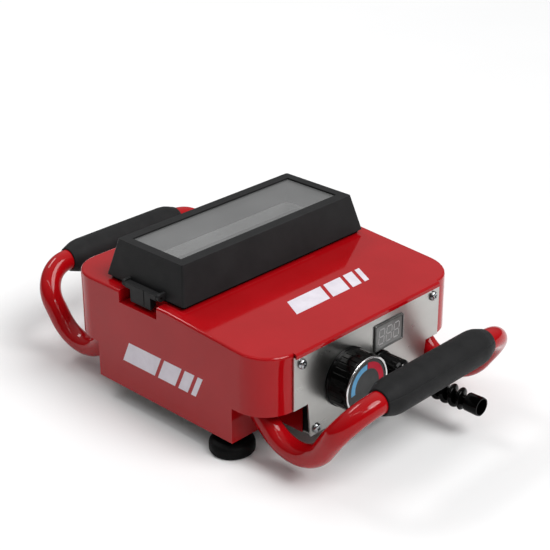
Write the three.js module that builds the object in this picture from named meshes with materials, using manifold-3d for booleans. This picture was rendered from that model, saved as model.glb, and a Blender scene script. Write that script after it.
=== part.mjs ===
// Bench waxing machine for skis and snowboards.
// A folded sheet-metal housing carries a heated wax tray in which a belt-driven roller turns.
// A lift-off lid with a window is clipped over the tray, and a bent-tube handle stands at each end.
// Millimetres. +X runs along the roller, -Y faces the user, +Z is up; the feet stand on z = 0.

import * as THREE from "three";
import { mergeVertices } from "three/addons/utils/BufferGeometryUtils.js";
import Module from "manifold-3d";

const wasm = await Module();
wasm.setup();

// ---------- driving dimensions ----------

const gap = 0.3; // between pieces that touch
const sheet = 1.6; // housing sheet thickness
const foldRadius = 3; // outer radius of the folded edges

const bodyWidth = 300; // along X
const bodyDepth = 299; // along Y
const cornerRadius = 38;
const baseZ = 21.5; // underside of the housing
const hoodZ = 62; // lower edge of the rounded hood corners
const topZ = 136; // level rear part of the top
const frontTopZ = 126.6; // top at the front edge
const bendY = -10; // where the top starts to slope
const sideHalfDepth = 102; // half length of the lower side walls along Y
const armHalfWidth = 86; // half width of the lower front and rear arms
const armSideEnd = 137; // the arm's side walls stop short of the panel here

const panelThickness = 2;
const panelHalfWidth = 113;
const panelTopZ = 122.5;
const panelStepZ = 63;
const panelBottomZ = 23.4;
const panelLowHalfWidthTop = 93;
const panelLowHalfWidthBottom = 88.5;

const trayCentreY = 37.2;
const trayHalfWidth = 115;
const trayHalfDepth = 37;
const trayWall = 3;
const trayBottomZ = 95;
const trayRimZ = 152.5;
const openingHalfWidth = 126;
const openingHalfDepth = 44;

const rollerRadius = 27;
const rollerHalfLength = 102;
const rollerAxisZ = 130;
const shaftRadius = 5;
const pulleyX = 121;
const rollerPulleyRadius = 17;
const motorPulleyRadius = 10;
const motorAxisZ = 66;
const motorRadius = 17;

const lidBaseZ = 140;
const lidHeight = 40.7;
const lidHalfWidth = 137;
const lidHalfDepth = 59.65;
const lidInsetX = 9.1;
const lidInsetY = 10.2;
const lidWall = 3;
const lidRoof = 1.6;
const windowHalfWidth = 117.5;
const windowHalfDepth = 37.3;
const windowCentreY = 38;
const windowThickness = 3;

const latchPivotX = 141.5;
const latchPivotZ = 143.4;
const latchPinRadius = 1.6;
const lugRadius = 4.2;
const lugInnerY = 24.6;
const lugOuterY = 28.2;
const latchHalfWidth = 24;
const tongueHalfWidth = 15.5;
const notchHalfWidth = 29;
const notchFloorZ = 122.4;
const notchCentreY = 34;
const notchDepth = 16;

const handleRadius = 12;
const gripAxisY = 233.9;
const gripAxisZ = 94.4;
const gripHalfLength = 84;
const gripRadius = 19.4;
const legTopX = 124.9;
const legBottomX = 122;
const legBottomY = 171.2;
const legBottomZ = 2;
const legRise = [-44.5, 40]; // Y and Z of the last straight length, towards the body
const upperBend = 39;
const lowerBend = 47;

const knobX = -36.5;
const knobZ = 71.9;
const knobRadius = 31.5;
const knobSkirtRadius = 32.3;
const knobDepth = 28;
const switchX = 15.3;
const switchZ = 64;
const switchRadius = 16.6;
const switchDepth = 31;
const displayX = 28.8;
const displayZ = 96.5;
const displayHalfWidth = 23;
const displayHalfHeight = 15.2;
const glandX = 60;
const glandZ = 34.6;
const glandLength = 100;

const frontFootX = 132.6;
const rearFootX = 92;
const footY = 84;
const footRadius = 24;

// ---------- materials ----------

const finishes = {
  red: { color: 0xb3121b, roughness: 0.25, metalness: 0.1 },
  steel: { color: 0xb8b6b0, roughness: 0.35, metalness: 0.9 },
  chrome: { color: 0xdadcde, roughness: 0.12, metalness: 1 },
  aluminium: { color: 0xc4c6c8, roughness: 0.4, metalness: 0.9 },
  black: { color: 0x1d1d1e, roughness: 0.5, metalness: 0 },
  rubber: { color: 0x303132, roughness: 0.85, metalness: 0 },
  glass: { color: 0xa9acac, roughness: 0.25, metalness: 0 },
  brass: { color: 0xb9934e, roughness: 0.35, metalness: 0.9 },
  board: { color: 0x1f5a34, roughness: 0.6, metalness: 0 },
  insulation: { color: 0xd8d2c4, roughness: 0.9, metalness: 0 },
};

// ---------- helpers ----------

const part = new THREE.Group();
part.name = "waxing_machine";

function toSolid(geometry) {
  const bare = geometry.clone();
  bare.deleteAttribute("normal");
  bare.deleteAttribute("uv");
  const merged = mergeVertices(bare, 1e-3);
  return new wasm.Manifold(
    new wasm.Mesh({
      numProp: 3,
      vertProperties: merged.attributes.position.array,
      triVerts: new Uint32Array(merged.index.array),
    }),
  );
}

function toGeometry(solid) {
  const mesh = solid.getMesh();
  const geometry = new THREE.BufferGeometry();
  geometry.setAttribute("position", new THREE.BufferAttribute(mesh.vertProperties, 3));
  geometry.setIndex(new THREE.BufferAttribute(mesh.triVerts, 1));
  geometry.computeVertexNormals();
  return geometry;
}

function addPiece(name, shape, finish) {
  const geometry = shape.isBufferGeometry ? shape : toGeometry(shape);
  const mesh = new THREE.Mesh(geometry, new THREE.MeshStandardMaterial(finishes[finish]));
  mesh.name = name;
  part.add(mesh);
  return mesh;
}

function boxBetween(x, y, z) {
  const geometry = new THREE.BoxGeometry(x[1] - x[0], y[1] - y[0], z[1] - z[0]);
  geometry.translate((x[0] + x[1]) / 2, (y[0] + y[1]) / 2, (z[0] + z[1]) / 2);
  return geometry;
}

const boxSolid = (x, y, z) => toSolid(boxBetween(x, y, z));

// A flat outline in X and Y, pushed up from z0 to z1.
function prism(points, z0, z1) {
  const shape = new THREE.Shape(points.map(([x, y]) => new THREE.Vector2(x, y)));
  const geometry = new THREE.ExtrudeGeometry(shape, { depth: z1 - z0, bevelEnabled: false });
  geometry.translate(0, 0, z0);
  return geometry;
}

// Lays a prism on its side: its outline goes to Y and Z, and its length runs along X.
function laidAlongX(geometry) {
  const swap = new THREE.Matrix4().set(0, 0, 1, 0, 1, 0, 0, 0, 0, 1, 0, 0, 0, 0, 0, 1);
  return geometry.applyMatrix4(swap);
}

// A rounded rectangle, centred on the origin.
function roundedRectangle(halfX, halfY, radius, steps = 6) {
  const points = [];
  for (const [quarter, sx, sy] of [[0, 1, 1], [1, -1, 1], [2, -1, -1], [3, 1, -1]]) {
    for (let i = 0; i <= steps; i++) {
      const angle = ((quarter + i / steps) * Math.PI) / 2;
      points.push([
        sx * (halfX - radius) + radius * Math.cos(angle),
        sy * (halfY - radius) + radius * Math.sin(angle),
      ]);
    }
  }
  return points;
}

// A profile of [radius, height] turned about an axis; it starts and ends on the axis or closes.
function turned(profile, segments, axis = "z") {
  const points = profile.map(([radius, height]) => new THREE.Vector2(radius, height));
  const geometry = new THREE.LatheGeometry(points, segments);
  if (axis === "z") geometry.rotateX(Math.PI / 2);
  if (axis === "-y") geometry.rotateX(Math.PI);
  if (axis === "x") geometry.rotateZ(-Math.PI / 2);
  return geometry;
}

// A plain cylinder from one end to the other along an axis, as a solid.
function rod(radius, from, to, segments, axis, centre) {
  const profile = [[0, from], [radius, from], [radius, to], [0, to]];
  const geometry = turned(profile, segments, axis);
  geometry.translate(...centre);
  return toSolid(geometry);
}

// A ring from one end to the other along an axis.
function ring(inner, outer, from, to, segments, axis, centre) {
  const profile = [[inner, from], [outer, from], [outer, to], [inner, to], [inner, from]];
  const geometry = turned(profile, segments, axis);
  geometry.translate(...centre);
  return toSolid(geometry);
}

const mirrorX = (solid) => solid.mirror([1, 0, 0]);
const mirrorY = (solid) => solid.mirror([0, 1, 0]);

// ---------- housing ----------

const slope = (topZ - frontTopZ) / (bodyDepth / 2 + bendY);

// The hood: a rounded box with folded top edges whose top slopes down in front of the bend.
function hood(inset, bottom) {
  const fold = Math.max(foldRadius - inset, 0.8);
  const outline = roundedRectangle(
    bodyWidth / 2 - inset - fold,
    bodyDepth / 2 - inset - fold,
    cornerRadius - inset - fold,
    8,
  );
  const shape = new THREE.Shape(outline.map(([x, y]) => new THREE.Vector2(x, y)));
  const top = topZ - inset;
  const low = bottom - 30;
  const geometry = new THREE.ExtrudeGeometry(shape, {
    depth: top - low - 2 * fold,
    bevelSize: fold,
    bevelThickness: fold,
    bevelSegments: 3,
  });
  geometry.translate(0, 0, low + fold);
  const sloped = geometry.clone();
  const tilt = new THREE.Matrix4().set(1, 0, 0, 0, 0, 1, 0, 0, 0, slope, 1, -slope * bendY, 0, 0, 0, 1);
  sloped.applyMatrix4(tilt);
  const rear = toSolid(geometry).intersect(boxSolid([-200, 200], [bendY, 200], [bottom, 200]));
  const front = toSolid(sloped).intersect(boxSolid([-200, 200], [-200, bendY], [bottom, 200]));
  return rear.add(front);
}

// The lower body: side walls with a front and a rear arm between the four open corners.
function cross(inset, z0, z1) {
  const side = bodyWidth / 2 - inset;
  const flank = sideHalfDepth - inset;
  const arm = armHalfWidth - inset;
  const end = bodyDepth / 2 - inset;
  const quarter = [[side, flank], [arm, flank], [arm, end]];
  const points = [
    ...quarter,
    ...quarter.map(([x, y]) => [-x, y]).reverse(),
    ...quarter.map(([x, y]) => [-x, -y]),
    ...quarter.map(([x, y]) => [x, -y]).reverse(),
  ];
  return toSolid(prism(points, z0, z1));
}

const notchMouth = (sign, inset, floor) =>
  boxSolid(
    [bodyWidth / 2 - notchDepth - inset, bodyWidth / 2 + 1].map((x) => x * sign).sort((a, b) => a - b),
    [notchCentreY - notchHalfWidth - inset, notchCentreY + notchHalfWidth + inset],
    [floor, topZ + 1],
  );

const hoodOutside = hood(0, hoodZ);
const hoodInside = hood(sheet, hoodZ - 1);
const crossOutside = cross(0, baseZ, hoodZ + 40);
const crossInside = cross(sheet, baseZ - 1, topZ - sheet - 8);

// Walls of the two latch pockets, folded in from the side walls.
const pocketBoxes = notchMouth(1, sheet, notchFloorZ - sheet)
  .add(notchMouth(-1, sheet, notchFloorZ - sheet))
  .intersect(hoodOutside);

const partition = cross(0, hoodZ - 1, topZ).intersect(hoodInside).subtract(cross(sheet, hoodZ - 2, topZ + 1));
const lowerWalls = crossOutside
  .intersect(boxSolid([-200, 200], [-200, 200], [baseZ, hoodZ + 0.01]))
  .subtract(crossInside);

let housing = hoodOutside.subtract(hoodInside).add(partition).add(lowerWalls).add(pocketBoxes);

// The front stays open behind the panel, with a narrow flange for its screws.
housing = housing
  .subtract(boxSolid([-97, 97], [-160, -bodyDepth / 2 + 2.2], [hoodZ - 1, 119]))
  .subtract(boxSolid([-armHalfWidth - 1, armHalfWidth + 1], [-160, -armSideEnd], [baseZ - 1, hoodZ + 1]))
  .subtract(boxSolid([-95, 95], [-armSideEnd - 20, -armSideEnd], [hoodZ - 1, 119]));

// The lip is folded down over the top edge of the panel.
const lipFace = bodyDepth / 2 + panelThickness + gap;
const lipDrop = 6;
const lipOutline = [
  [-lipFace - sheet, frontTopZ - 2.4],
  [-lipFace - sheet + 2, frontTopZ - 0.35],
  [-bodyDepth / 2 + 6, frontTopZ + 0.35],
  [-bodyDepth / 2 + 6, frontTopZ - 1.3],
  [-lipFace, frontTopZ - 1.9],
  [-lipFace, frontTopZ - lipDrop],
  [-lipFace - sheet, frontTopZ - lipDrop],
];
housing = housing.add(toSolid(laidAlongX(prism(lipOutline, -111, 111))));
housing = housing.subtract(
  boxSolid([-panelHalfWidth - 0.5, panelHalfWidth + 0.5], [-lipFace, -bodyDepth / 2], [50, panelTopZ + 0.5]),
);

// Openings: tray, latch pockets, panel screws, handle bolts and the foot of each side wall.
housing = housing.subtract(
  boxSolid(
    [-openingHalfWidth, openingHalfWidth],
    [trayCentreY - openingHalfDepth, trayCentreY + openingHalfDepth],
    [topZ - 10, topZ + 10],
  ),
);
for (const sign of [1, -1]) housing = housing.subtract(notchMouth(sign, 0, notchFloorZ));
const upperScrewX = 102;
const upperScrewZ = 112.3;
const lowerScrewX = 80.5;
const lowerScrewZ = 30.4;
for (const sign of [1, -1]) {
  housing = housing.subtract(rod(2.9, 130, 160, 12, "-y", [sign * upperScrewX, 0, upperScrewZ]));
}
const boltX = legBottomX - 17;
const boltZ = 84;
for (const sx of [1, -1]) {
  for (const [direction, from] of [["y", 90], ["-y", 90]]) {
    const centre = [sx * boltX, 0, boltZ];
    housing = housing.subtract(rod(4.3, from, 115, 12, direction, centre));
  }
}
addPiece("housing", housing, "red");

// ---------- base plate ----------

const baseInset = sheet + gap;
let basePlate = cross(baseInset, baseZ, baseZ + sheet);
for (const sign of [1, -1]) {
  const tab = boxSolid(
    [76, 84].map((x) => x * sign).sort((a, b) => a - b),
    [-bodyDepth / 2 + gap, -bodyDepth / 2 + gap + sheet],
    [baseZ, 37],
  );
  basePlate = basePlate.add(tab);
  basePlate = basePlate.subtract(rod(2.9, 140, 155, 12, "-y", [sign * lowerScrewX, 0, lowerScrewZ]));
}
for (let i = 0; i < 9; i++) {
  const x = -64 + 16 * i;
  basePlate = basePlate.subtract(boxSolid([x - 2, x + 2], [-86, -46], [baseZ - 1, baseZ + 3]));
}
for (const sx of [1, -1]) {
  for (const sy of [1, -1]) {
    const footX = sy < 0 ? frontFootX : rearFootX;
    basePlate = basePlate.subtract(rod(4.3, 20, 25, 12, "z", [sx * footX, sy * footY, 0]));
  }
}
addPiece("base_plate", basePlate, "steel");

// ---------- feet ----------

// The front feet stand out past the side walls; the rear pair is set in under the body.

const footProfile = [
  [0, 0],
  [footRadius - 1.5, 0],
  [footRadius, 2],
  [footRadius, 9],
  [footRadius - 1.2, 12.5],
  [footRadius - 4.5, 15],
  [13, 16],
  [13, baseZ - gap],
  [4.3, baseZ - gap],
  [4.3, 9],
  [0, 9],
];
const studProfile = [
  [0, 9.3],
  [4, 9.3],
  [4, baseZ + sheet + gap],
  [7, baseZ + sheet + gap],
  [7, baseZ + sheet + 6],
  [0, baseZ + sheet + 6],
];
let footNumber = 0;
for (const [sx, sy] of [[-1, -1], [1, -1], [1, 1], [-1, 1]]) {
  footNumber += 1;
  const footX = sy < 0 ? frontFootX : rearFootX;
  const foot = addPiece(`foot_${footNumber}`, turned(footProfile, 24), "rubber");
  foot.position.set(sx * footX, sy * footY, 0);
  const stud = addPiece(`foot_stud_${footNumber}`, turned(studProfile, 12), "steel");
  stud.position.set(sx * footX, sy * footY, 0);
}

// ---------- handles and grips ----------

// The centre line of a bent tube: straight lengths joined by round bends.
function bentPath(corners, bends) {
  const path = new THREE.CurvePath();
  let start = corners[0];
  for (let i = 1; i < corners.length - 1; i++) {
    const corner = corners[i];
    const bend = bends[i - 1];
    const before = corners[i - 1].clone().sub(corner).normalize();
    const after = corners[i + 1].clone().sub(corner).normalize();
    const halfAngle = before.angleTo(after) / 2;
    const cut = bend / Math.tan(halfAngle);
    const middle = before.clone().add(after).normalize();
    const centre = corner.clone().addScaledVector(middle, bend / Math.sin(halfAngle));
    const from = corner.clone().addScaledVector(before, cut);
    const to = corner.clone().addScaledVector(after, cut);
    path.add(new THREE.LineCurve3(start, from));
    const spokeFrom = from.clone().sub(centre);
    const spokeTo = to.clone().sub(centre);
    const turn = spokeFrom.angleTo(spokeTo);
    const normal = spokeFrom.clone().cross(spokeTo).normalize();
    const pieces = Math.ceil(turn / 0.2);
    let last = from;
    for (let k = 1; k <= pieces; k++) {
      const next = spokeFrom.clone().applyAxisAngle(normal, (turn * k) / pieces).add(centre);
      path.add(new THREE.LineCurve3(last, next));
      last = next;
    }
    start = to;
  }
  path.add(new THREE.LineCurve3(start, corners[corners.length - 1]));
  return path;
}

// Half of a handle, from the middle of the grip to inside the body, at the +Y end.
const reach = (legBottomY - sideHalfDepth + 10) / -legRise[0];
const legEnd = new THREE.Vector3(
  legBottomX,
  legBottomY + legRise[0] * reach,
  legBottomZ + legRise[1] * reach,
);
const rightCorners = [
  new THREE.Vector3(0, gripAxisY, gripAxisZ),
  new THREE.Vector3(legTopX, gripAxisY, gripAxisZ),
  new THREE.Vector3(legBottomX, legBottomY, legBottomZ),
  legEnd,
];

// The tube's skin swept along a path of straight pieces, with one ring at each joint.
function sweptTube(path, radius, sides) {
  const points = [path.curves[0].v1, ...path.curves.map((curve) => curve.v2)];
  class Polyline extends THREE.Curve {
    getPoint(t, target = new THREE.Vector3()) {
      const place = t * (points.length - 1);
      const index = Math.min(Math.floor(place), points.length - 2);
      return target.copy(points[index]).lerp(points[index + 1], place - index);
    }
    getPointAt(t, target) {
      return this.getPoint(t, target);
    }
    getTangent(t, target = new THREE.Vector3()) {
      const step = 0.5 / (points.length - 1);
      const ahead = this.getPoint(Math.min(t + step, 1));
      const behind = this.getPoint(Math.max(t - step, 0));
      return target.copy(ahead).sub(behind).normalize();
    }
    getTangentAt(t, target) {
      return this.getTangent(t, target);
    }
  }
  const outline = new THREE.Shape();
  outline.absarc(0, 0, radius, 0, 2 * Math.PI);
  return new THREE.ExtrudeGeometry(outline, {
    steps: points.length - 1,
    curveSegments: sides / 2,
    extrudePath: new Polyline(),
  });
}

const halfTube = toSolid(sweptTube(bentPath(rightCorners, [upperBend, lowerBend]), handleRadius, 18));
const plateInner = sideHalfDepth + gap;
const endPlate = boxSolid([legBottomX - 24, legBottomX + 16], [plateInner, plateInner + 3], [66, 94])
  .subtract(rod(4.3, 90, 115, 12, "y", [boltX, 0, boltZ]));
const wholeHandle = halfTube
  .subtract(boxSolid([0, 200], [0, plateInner + 1], [0, 200]))
  .add(endPlate);
const cut = boxSolid([-1, 300], [0, 300], [-10, 200]);
const rearHandle = wholeHandle.intersect(cut).add(mirrorX(wholeHandle.intersect(cut)));
addPiece("handle_rear", rearHandle, "red");
addPiece("handle_front", mirrorY(rearHandle), "red");

const bore = handleRadius + gap;
const gripProfile = [
  [bore, -gripHalfLength],
  [handleRadius + 2.2, -gripHalfLength],
  [gripRadius - 2.8, -gripHalfLength + 7],
  [gripRadius - 0.8, -gripHalfLength + 13],
  [gripRadius, -gripHalfLength + 20],
  [gripRadius, gripHalfLength - 20],
  [gripRadius - 0.8, gripHalfLength - 13],
  [gripRadius - 2.8, gripHalfLength - 7],
  [handleRadius + 2.2, gripHalfLength],
  [bore, gripHalfLength],
  [bore, -gripHalfLength],
];
for (const [name, sign] of [["grip_front", -1], ["grip_rear", 1]]) {
  const grip = addPiece(name, turned(gripProfile, 24, "x"), "rubber");
  grip.position.set(0, sign * gripAxisY, gripAxisZ);
}

const boltProfile = [[0, 98], [3.9, 98], [3.9, 105.8], [7, 105.8], [7, 110.5], [0, 110.5]];
let boltNumber = 0;
for (const direction of ["-y", "y"]) {
  for (const sx of [-1, 1]) {
    boltNumber += 1;
    const bolt = addPiece(`handle_bolt_${boltNumber}`, turned(boltProfile, 12, direction), "steel");
    bolt.position.set(sx * boltX, 0, boltZ);
  }
}

// ---------- control panel ----------

const panelBack = -bodyDepth / 2 - gap;
const panelFront = panelBack - panelThickness;
const panelOutline = [
  [-panelHalfWidth, panelTopZ],
  [-panelHalfWidth, panelStepZ],
  [-panelLowHalfWidthTop, panelStepZ],
  [-panelLowHalfWidthBottom, panelBottomZ],
  [panelLowHalfWidthBottom, panelBottomZ],
  [panelLowHalfWidthTop, panelStepZ],
  [panelHalfWidth, panelStepZ],
  [panelHalfWidth, panelTopZ],
];
const panelBlank = prism(panelOutline, 0, panelThickness);
panelBlank.rotateX(Math.PI / 2);
panelBlank.translate(0, panelBack, 0);
let panel = toSolid(panelBlank);
const displayCut = (grow, front, back) =>
  boxSolid(
    [displayX - displayHalfWidth + grow, displayX + displayHalfWidth - grow],
    [front, back],
    [displayZ - displayHalfHeight + grow, displayZ + displayHalfHeight - grow],
  );
panel = panel
  .subtract(displayCut(1.7, -170, -140))
  .subtract(rod(4.6, 140, 170, 16, "-y", [knobX, 0, knobZ]))
  .subtract(rod(8.3, 140, 170, 16, "-y", [switchX, 0, switchZ]))
  .subtract(rod(7.8, 140, 170, 20, "-y", [glandX, 0, glandZ]));
const screwPlaces = [
  [-upperScrewX, upperScrewZ],
  [upperScrewX, upperScrewZ],
  [lowerScrewX, lowerScrewZ],
  [-lowerScrewX, lowerScrewZ],
];
const screwProfile = [
  [0, -4.4],
  [2.4, -4.4],
  [2.4, 0],
  [5.4, 0],
  [5.4, 1.4],
  [4.4, 2.6],
  [2.6, 3.3],
  [0, 3.5],
];
screwPlaces.forEach(([x, z], index) => {
  panel = panel.subtract(rod(2.9, 140, 160, 12, "-y", [x, 0, z]));
  const screw = addPiece(`panel_screw_${index + 1}`, turned(screwProfile, 16, "-y"), "chrome");
  screw.position.set(x, panelFront - gap, z);
});
addPiece("front_panel", panel, "steel");

// ---------- temperature knob ----------

const fluteCount = 32;
const fluteDepth = 0.7;
const knobBack = panelFront - gap;
const fluted = [];
for (let i = 0; i < fluteCount * 3; i++) {
  const angle = (i / (fluteCount * 3)) * 2 * Math.PI;
  const radius = knobRadius - (i % 3 === 0 ? fluteDepth : 0);
  fluted.push([radius * Math.cos(angle), radius * Math.sin(angle)]);
}
let knob = toSolid(prism(fluted, 0, knobDepth - 3));
const crown = [
  [0, knobDepth - 3.2],
  [knobRadius - 0.2, knobDepth - 3.2],
  [knobRadius - 0.4, knobDepth - 1],
  [0, knobDepth - 1],
];
knob = knob
  .add(rod(knobSkirtRadius, 0, 4, 48, "z", [0, 0, 0]))
  .add(toSolid(turned(crown, 48)))
  .subtract(rod(28.9, knobDepth - 2.2, knobDepth + 1, 48, "z", [0, 0, 0]))
  .add(rod(28, knobDepth - 4, knobDepth - 1.4, 48, "z", [0, 0, 0]))
  .subtract(rod(3.3, -1, 16, 16, "z", [0, 0, 0]));
const knobMesh = addPiece("temperature_knob", knob, "black");
knobMesh.rotation.x = Math.PI / 2;
knobMesh.position.set(knobX, knobBack, knobZ);

const trimProfile = [
  [28.6, knobDepth - 1],
  [31, knobDepth - 0.8],
  [31.3, knobDepth - 0.2],
  [30.6, knobDepth + 0.5],
  [29.2, knobDepth + 0.5],
  [28.6, knobDepth - 1],
];
const trim = addPiece("knob_ring", turned(trimProfile, 36, "-y"), "chrome");
trim.position.set(knobX, knobBack - 0.4, knobZ);
const shaftTrim = [[0, -15.7], [3, -15.7], [3, 6], [0, 6]];
const knobShaft = addPiece("thermostat_shaft", turned(shaftTrim, 16, "y"), "steel");
knobShaft.position.set(knobX, knobBack, knobZ);

// The thermostat hangs behind the panel on its threaded neck.
const thermostat = ring(3.3, 4.3, -2.2, 12, 16, "y", [knobX, panelBack, knobZ])
  .add(boxSolid([knobX - 18, knobX + 18], [panelBack + gap, panelBack + 26], [knobZ - 20, knobZ + 20]))
  .subtract(rod(3.3, -4, 12, 16, "y", [knobX, panelBack, knobZ]));
addPiece("thermostat", thermostat, "black");

// ---------- main switch ----------

const switchProfile = [
  [0, -18],
  [2.6, -18],
  [2.6, 0],
  [switchRadius, 0],
  [switchRadius, 3],
  [switchRadius - 1, 4],
  [switchRadius - 1, switchDepth - 2],
  [switchRadius - 3, switchDepth],
  [0, switchDepth],
];
const switchKnob = addPiece("switch_knob", turned(switchProfile, 28, "-y"), "black");
switchKnob.position.set(switchX, knobBack, switchZ);
const switchBody = ring(2.9, 8, -1.5, 4, 16, "y", [switchX, panelBack, switchZ])
  .add(
    boxSolid([switchX - 15, switchX + 15], [panelBack + gap, panelBack + 24], [switchZ - 15, switchZ + 15]),
  )
  .subtract(rod(2.9, -4, 18, 16, "y", [switchX, panelBack, switchZ]));
addPiece("switch_body", switchBody, "black");

// ---------- temperature display ----------

const bezelFront = panelFront - 2.2;
const bezel = displayCut(0, bezelFront, panelFront - gap)
  .add(displayCut(2, panelFront - gap - 0.1, -128))
  .subtract(displayCut(2.6, bezelFront - 1, bezelFront + 1.6))
  .subtract(displayCut(3.4, -140, -120));
addPiece("display_frame", bezel, "black");
addPiece("display_lens", displayCut(2.9, bezelFront + 0.3, bezelFront + 1.3), "glass");

// ---------- cable gland ----------

const glandRadius = 11;
const glandCore = 8;
const glandBore = 4.6;
const glandProfile = [[glandBore, -11], [7.4, -11], [7.4, 0], [12.5, 0], [12.5, 5], [9, 6.5]];
const glandRibs = 5;
const glandPitch = 14;
for (let i = 0; i < glandRibs; i++) {
  const start = 8 + glandPitch * i;
  const outer = glandRadius - 0.25 * i;
  glandProfile.push([glandCore, start], [outer, start + 2.6], [outer, start + 6.2], [glandCore, start + 8.8]);
}
glandProfile.push([glandCore, glandLength - 18.5], [9.6, glandLength - 18], [10.2, glandLength - 2]);
glandProfile.push([9.6, glandLength], [8.2, glandLength], [7.6, glandLength - 9]);
glandProfile.push([glandBore, glandLength - 11], [glandBore, -11]);
const gland = addPiece("cable_gland", turned(glandProfile, 16, "-y"), "black");
gland.position.set(glandX, knobBack, glandZ);
const nutBody = rod(11, -7.5, -2.7, 6, "-y", [0, 0, 0]).subtract(rod(7.7, -9, 0, 20, "-y", [0, 0, 0]));
const nut = addPiece("gland_nut", nutBody, "black");
nut.position.set(glandX, knobBack, glandZ);

// ---------- electronics ----------

const boxFront = -bodyDepth / 2 + gap + sheet + 0.4;
const boxBack = -101;
const boxX = armHalfWidth - sheet - gap;
let controlBox = boxSolid([-boxX, boxX], [boxFront, boxBack], [24, 117])
  .subtract(boxSolid([-boxX + 2, boxX - 2], [-160, boxBack - 2], [26, 115]));
controlBox = controlBox.subtract(rod(9, -110, -90, 16, "y", [-40, 0, 44]));
controlBox = controlBox.subtract(boxSolid([glandX - 14, boxX + 1], [boxFront - 1, boxFront + 8], [23, 27]));
addPiece("control_box", controlBox, "black");
let board = boxSolid([-74, 74], [boxBack - 9, boxBack - 7.4], [50, 110]);
board = board
  .add(boxSolid([-60, -36], [boxBack - 20, boxBack - 8.5], [78, 102]))
  .add(boxSolid([34, 60], [boxBack - 22, boxBack - 8.5], [60, 80]))
  .add(rod(6, -22, -8, 12, "y", [-14, boxBack, 100]));
addPiece("control_board", board, "board");

// ---------- wax tray, roller and drive ----------

const atTray = ([x, y]) => [x, y + trayCentreY];
const trayOutside = prism(
  roundedRectangle(trayHalfWidth, trayHalfDepth, 8, 4).map(atTray),
  trayBottomZ,
  trayRimZ,
);
const trayInside = prism(
  roundedRectangle(trayHalfWidth - trayWall, trayHalfDepth - trayWall, 6, 4).map(atTray),
  trayBottomZ + trayWall,
  trayRimZ + 1,
);
const flangeOutline = roundedRectangle(129.5, 50, 4, 3).map(atTray);
const trayFlange = toSolid(prism(flangeOutline, topZ + gap, topZ + gap + 2));
const tray = toSolid(trayOutside)
  .add(trayFlange)
  .subtract(toSolid(trayInside))
  .subtract(boxSolid([pulleyX - 5.5, pulleyX + 5.5], [trayCentreY - 22, trayCentreY + 22], [130, 150]))
  .subtract(rod(9.3, -140, 140, 24, "x", [0, trayCentreY, rollerAxisZ]));
addPiece("wax_tray", tray, "aluminium");

const grooved = [[shaftRadius + 0.15, -rollerHalfLength], [rollerRadius - 1.5, -rollerHalfLength]];
const grooveCount = 8;
const groovePitch = (2 * rollerHalfLength) / grooveCount;
for (let i = 0; i < grooveCount; i++) {
  const start = -rollerHalfLength + i * groovePitch;
  grooved.push([rollerRadius, start + 1.5], [rollerRadius, start + groovePitch - 1.5]);
  grooved.push([rollerRadius - 1.5, start + groovePitch]);
}
grooved.push([shaftRadius + 0.15, rollerHalfLength], grooved[0]);
const roller = addPiece("roller", turned(grooved, 22, "x"), "aluminium");
roller.position.set(0, trayCentreY, rollerAxisZ);
const axle = addPiece(
  "roller_shaft",
  turned([[0, -121], [shaftRadius, -121], [shaftRadius, 126], [0, 126]], 24, "x"),
  "steel",
);
axle.position.set(0, trayCentreY, rollerAxisZ);
const bushProfile = [
  [shaftRadius + 0.15, 0],
  [9, 0],
  [9, 3.6],
  [11.5, 3.6],
  [11.5, 6],
  [shaftRadius + 0.15, 6],
  [shaftRadius + 0.15, 0],
];
for (const [name, sign] of [["bush_left", -1], ["bush_right", 1]]) {
  const bush = addPiece(name, turned(bushProfile, 24, "x"), "brass");
  bush.position.set(sign * (trayHalfWidth + gap), trayCentreY, rollerAxisZ);
  bush.rotation.z = sign > 0 ? Math.PI : 0;
}

function pulleyProfile(radius, bore) {
  return [
    [bore, -3.6],
    [radius + 2, -3.6],
    [radius + 2, -2.9],
    [radius, -2.6],
    [radius, 2.6],
    [radius + 2, 2.9],
    [radius + 2, 3.6],
    [bore, 3.6],
    [bore, -3.6],
  ];
}
const upperPulley = addPiece(
  "roller_pulley",
  turned(pulleyProfile(rollerPulleyRadius, shaftRadius + 0.15), 24, "x"),
  "aluminium",
);
upperPulley.position.set(pulleyX, trayCentreY, rollerAxisZ);
const lowerPulley = addPiece(
  "motor_pulley",
  turned(pulleyProfile(motorPulleyRadius, 3.15), 20, "x"),
  "aluminium",
);
lowerPulley.position.set(pulleyX, trayCentreY, motorAxisZ);

// The belt runs round both pulleys on the outer tangents.
function beltOutline(offset) {
  const points = [];
  const distance = rollerAxisZ - motorAxisZ;
  const lean = Math.asin((rollerPulleyRadius - motorPulleyRadius) / distance);
  const steps = 16;
  for (let i = 0; i <= steps; i++) {
    const angle = -lean + (i / steps) * (Math.PI + 2 * lean);
    const radius = rollerPulleyRadius + offset;
    points.push([radius * Math.cos(angle), rollerAxisZ + radius * Math.sin(angle)]);
  }
  for (let i = 0; i <= steps; i++) {
    const angle = Math.PI + lean + (i / steps) * (Math.PI - 2 * lean);
    const radius = motorPulleyRadius + offset;
    points.push([radius * Math.cos(angle), motorAxisZ + radius * Math.sin(angle)]);
  }
  return points;
}
const beltOutside = toSolid(laidAlongX(prism(beltOutline(1.9), -2.3, 2.3)));
const beltInside = toSolid(laidAlongX(prism(beltOutline(0.25), -3, 3)));
const belt = addPiece("drive_belt", beltOutside.subtract(beltInside), "rubber");
belt.position.set(pulleyX, trayCentreY, 0);

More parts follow.
